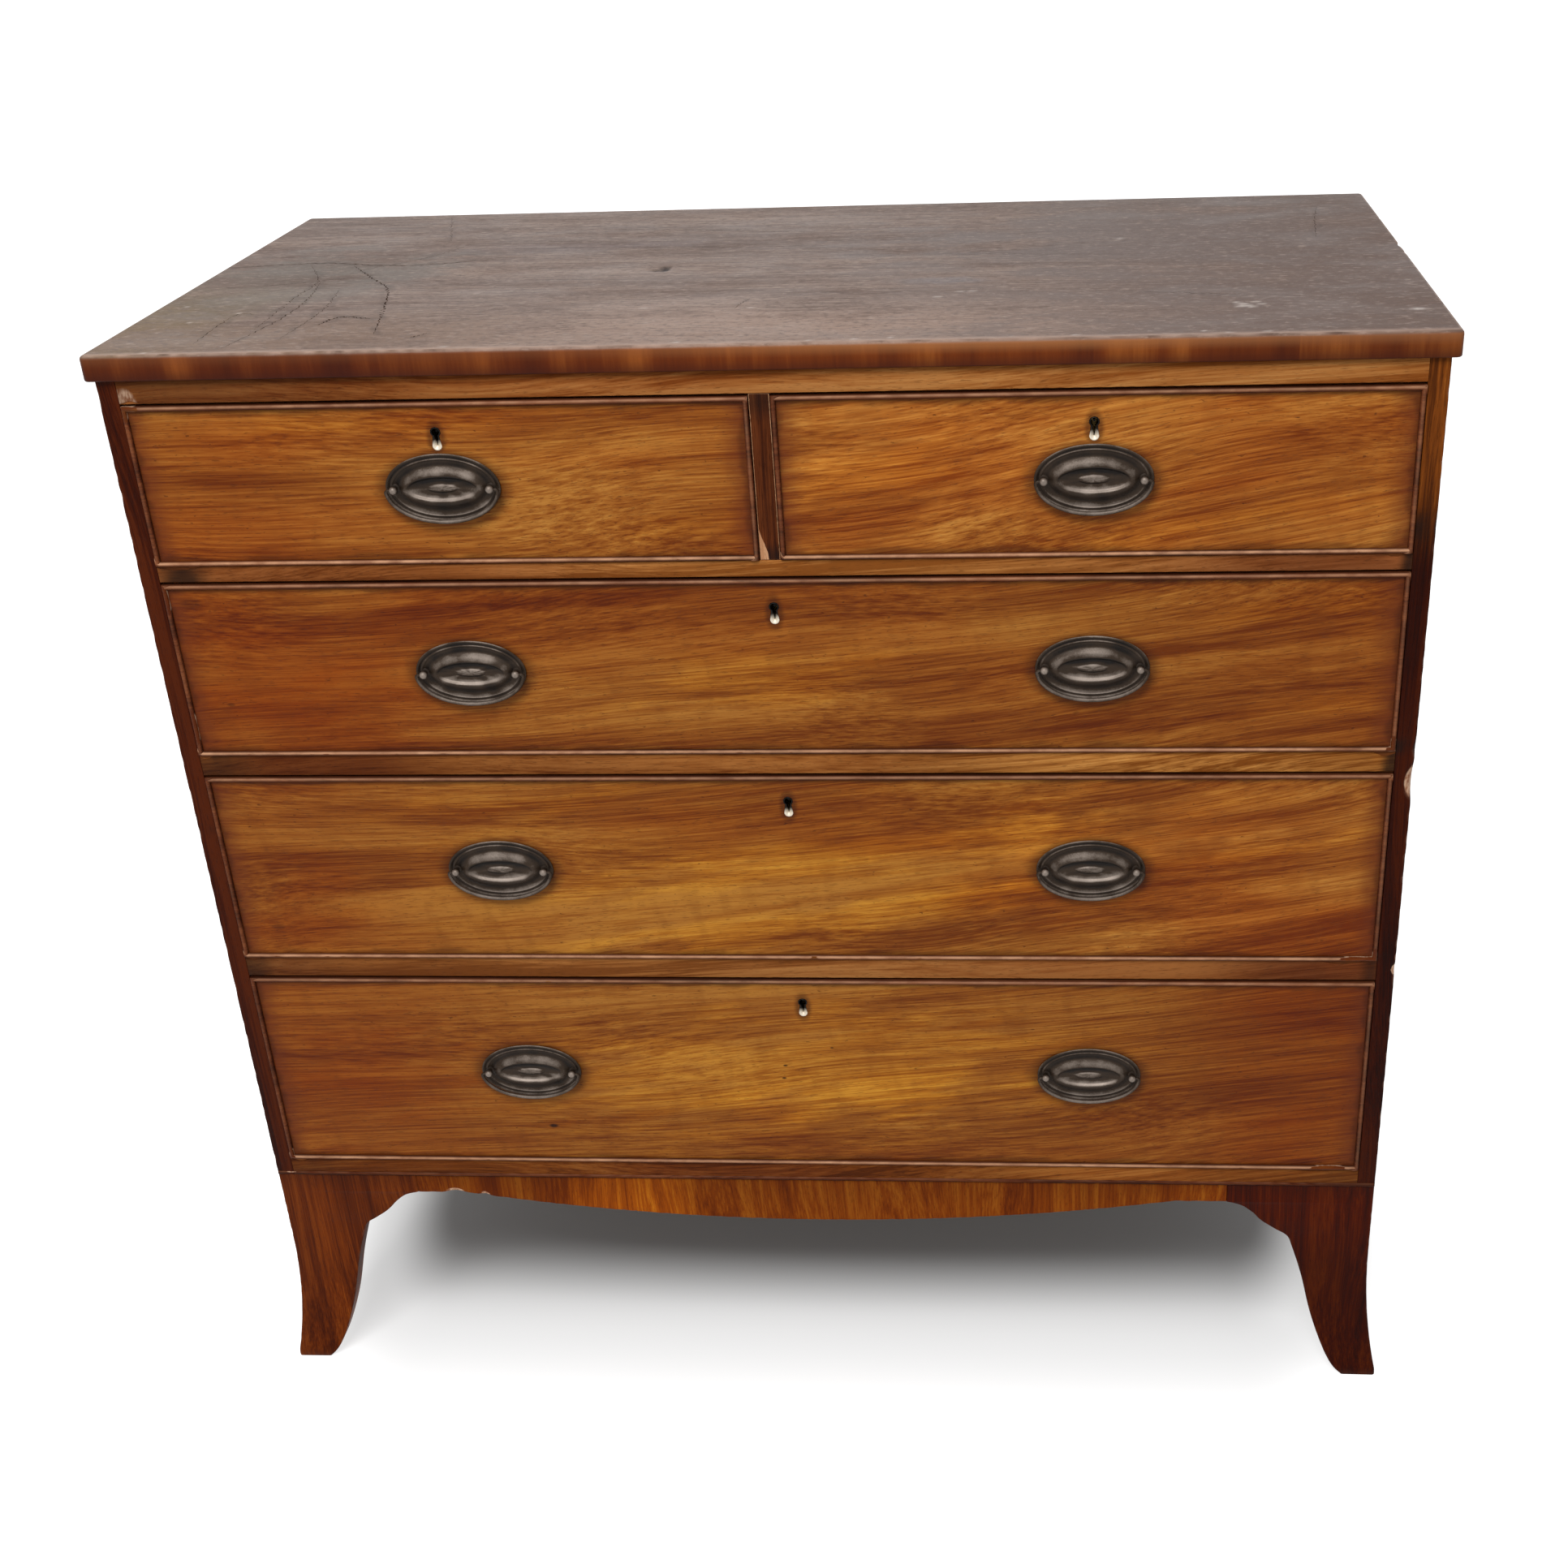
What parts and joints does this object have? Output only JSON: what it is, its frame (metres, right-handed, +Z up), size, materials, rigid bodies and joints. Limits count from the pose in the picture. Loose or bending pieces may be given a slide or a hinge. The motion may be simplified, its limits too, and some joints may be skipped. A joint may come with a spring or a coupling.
{
  "type": "chest of drawers",
  "caption": "Low mahogany chest with short drawers over long ones, cock-beaded fronts, oval plates with swing bails, shaped apron and splayed feet.",
  "frame": {"origin": "on the floor, under the middle of the bounding box", "axes": "+X to the right along the front as one faces it, +Y from the front to the back, +Z up"},
  "size_m": [1.078, 0.55, 1.021],
  "materials": {
    "top_mahogany": "faded, worn wax over old polish",
    "front_mahogany": "french polish, satin",
    "case_mahogany": "french polish, satin",
    "drawer_lining": "bare planed oak",
    "secondary_pine": "bare planed pine",
    "handle_brass": "dark bronzed patina, worn on the edges",
    "lock_brass": "dull brass",
    "bolt_iron": "filed iron"
  },
  "bodies": {
    "carcass": {"top_board": "top_mahogany", "left_side": "case_mahogany", "right_side": "case_mahogany", "back_boards": "secondary_pine", "carcass_bottom": "secondary_pine", "front_top_rail": "front_mahogany", "upper_rail": "front_mahogany", "middle_rail": "front_mahogany", "lower_rail": "front_mahogany", "base_rail": "front_mahogany", "upper_dustboard": "secondary_pine", "middle_dustboard": "secondary_pine", "lower_dustboard": "secondary_pine", "centre_partition": "front_mahogany", "front_apron": "case_mahogany", "front_left_foot": "case_mahogany", "front_right_foot": "case_mahogany", "back_left_foot": "case_mahogany", "back_right_foot": "case_mahogany"},
    "top_left_drawer": {"top_left_drawer_front": "front_mahogany", "top_left_drawer_tray": "drawer_lining", "top_left_drawer_bottom": "secondary_pine", "top_left_lock": "lock_brass", "top_left_backplate": "handle_brass"},
    "top_left_lock_bolt": {"top_left_lock_bolt": "bolt_iron"},
    "top_left_bail": {"top_left_bail": "handle_brass"},
    "top_right_drawer": {"top_right_drawer_front": "front_mahogany", "top_right_drawer_tray": "drawer_lining", "top_right_drawer_bottom": "secondary_pine", "top_right_lock": "lock_brass", "top_right_backplate": "handle_brass"},
    "top_right_lock_bolt": {"top_right_lock_bolt": "bolt_iron"},
    "top_right_bail": {"top_right_bail": "handle_brass"},
    "upper_drawer": {"upper_drawer_front": "front_mahogany", "upper_drawer_tray": "drawer_lining", "upper_drawer_bottom": "secondary_pine", "upper_lock": "lock_brass", "upper_left_backplate": "handle_brass", "upper_right_backplate": "handle_brass"},
    "upper_lock_bolt": {"upper_lock_bolt": "bolt_iron"},
    "upper_left_bail": {"upper_left_bail": "handle_brass"},
    "upper_right_bail": {"upper_right_bail": "handle_brass"},
    "middle_drawer": {"middle_drawer_front": "front_mahogany", "middle_drawer_tray": "drawer_lining", "middle_drawer_bottom": "secondary_pine", "middle_lock": "lock_brass", "middle_left_backplate": "handle_brass", "middle_right_backplate": "handle_brass"},
    "middle_lock_bolt": {"middle_lock_bolt": "bolt_iron"},
    "middle_left_bail": {"middle_left_bail": "handle_brass"},
    "middle_right_bail": {"middle_right_bail": "handle_brass"},
    "lower_drawer": {"lower_drawer_front": "front_mahogany", "lower_drawer_tray": "drawer_lining", "lower_drawer_bottom": "secondary_pine", "lower_lock": "lock_brass", "lower_left_backplate": "handle_brass", "lower_right_backplate": "handle_brass"},
    "lower_lock_bolt": {"lower_lock_bolt": "bolt_iron"},
    "lower_left_bail": {"lower_left_bail": "handle_brass"},
    "lower_right_bail": {"lower_right_bail": "handle_brass"}
  },
  "joints": [
    {"name": "top_left_drawer_slide", "type": "slide", "parent": "carcass", "child": "top_left_drawer", "axis": [0, -1, 0], "range_m": [0, 0.38]},
    {"name": "top_left_lock_bolt_throw", "type": "slide", "parent": "top_left_drawer", "child": "top_left_lock_bolt", "axis": [0, 0, 1], "range_m": [0, 0.007]},
    {"name": "top_left_bail_hinge", "type": "hinge", "parent": "top_left_drawer", "child": "top_left_bail", "pos_m": [-0.258, -0.2665, 0.9092], "axis": [-1, 0, 0], "range_deg": [0, 175]},
    {"name": "top_right_drawer_slide", "type": "slide", "parent": "carcass", "child": "top_right_drawer", "axis": [0, -1, 0], "range_m": [0, 0.38]},
    {"name": "top_right_lock_bolt_throw", "type": "slide", "parent": "top_right_drawer", "child": "top_right_lock_bolt", "axis": [0, 0, 1], "range_m": [0, 0.007]},
    {"name": "top_right_bail_hinge", "type": "hinge", "parent": "top_right_drawer", "child": "top_right_bail", "pos_m": [0.258, -0.2665, 0.9092], "axis": [-1, 0, 0], "range_deg": [0, 175]},
    {"name": "upper_drawer_slide", "type": "slide", "parent": "carcass", "child": "upper_drawer", "axis": [0, -1, 0], "range_m": [0, 0.38]},
    {"name": "upper_lock_bolt_throw", "type": "slide", "parent": "upper_drawer", "child": "upper_lock_bolt", "axis": [0, 0, 1], "range_m": [0, 0.007]},
    {"name": "upper_left_bail_hinge", "type": "hinge", "parent": "upper_drawer", "child": "upper_left_bail", "pos_m": [-0.258, -0.2665, 0.7492], "axis": [-1, 0, 0], "range_deg": [0, 175]},
    {"name": "upper_right_bail_hinge", "type": "hinge", "parent": "upper_drawer", "child": "upper_right_bail", "pos_m": [0.258, -0.2665, 0.7492], "axis": [-1, 0, 0], "range_deg": [0, 175]},
    {"name": "middle_drawer_slide", "type": "slide", "parent": "carcass", "child": "middle_drawer", "axis": [0, -1, 0], "range_m": [0, 0.38]},
    {"name": "middle_lock_bolt_throw", "type": "slide", "parent": "middle_drawer", "child": "middle_lock_bolt", "axis": [0, 0, 1], "range_m": [0, 0.007]},
    {"name": "middle_left_bail_hinge", "type": "hinge", "parent": "middle_drawer", "child": "middle_left_bail", "pos_m": [-0.258, -0.2665, 0.5602], "axis": [-1, 0, 0], "range_deg": [0, 175]},
    {"name": "middle_right_bail_hinge", "type": "hinge", "parent": "middle_drawer", "child": "middle_right_bail", "pos_m": [0.258, -0.2665, 0.5602], "axis": [-1, 0, 0], "range_deg": [0, 175]},
    {"name": "lower_drawer_slide", "type": "slide", "parent": "carcass", "child": "lower_drawer", "axis": [0, -1, 0], "range_m": [0, 0.38]},
    {"name": "lower_lock_bolt_throw", "type": "slide", "parent": "lower_drawer", "child": "lower_lock_bolt", "axis": [0, 0, 1], "range_m": [0, 0.007]},
    {"name": "lower_left_bail_hinge", "type": "hinge", "parent": "lower_drawer", "child": "lower_left_bail", "pos_m": [-0.258, -0.2665, 0.3452], "axis": [-1, 0, 0], "range_deg": [0, 175]},
    {"name": "lower_right_bail_hinge", "type": "hinge", "parent": "lower_drawer", "child": "lower_right_bail", "pos_m": [0.258, -0.2665, 0.3452], "axis": [-1, 0, 0], "range_deg": [0, 175]}
  ]
}
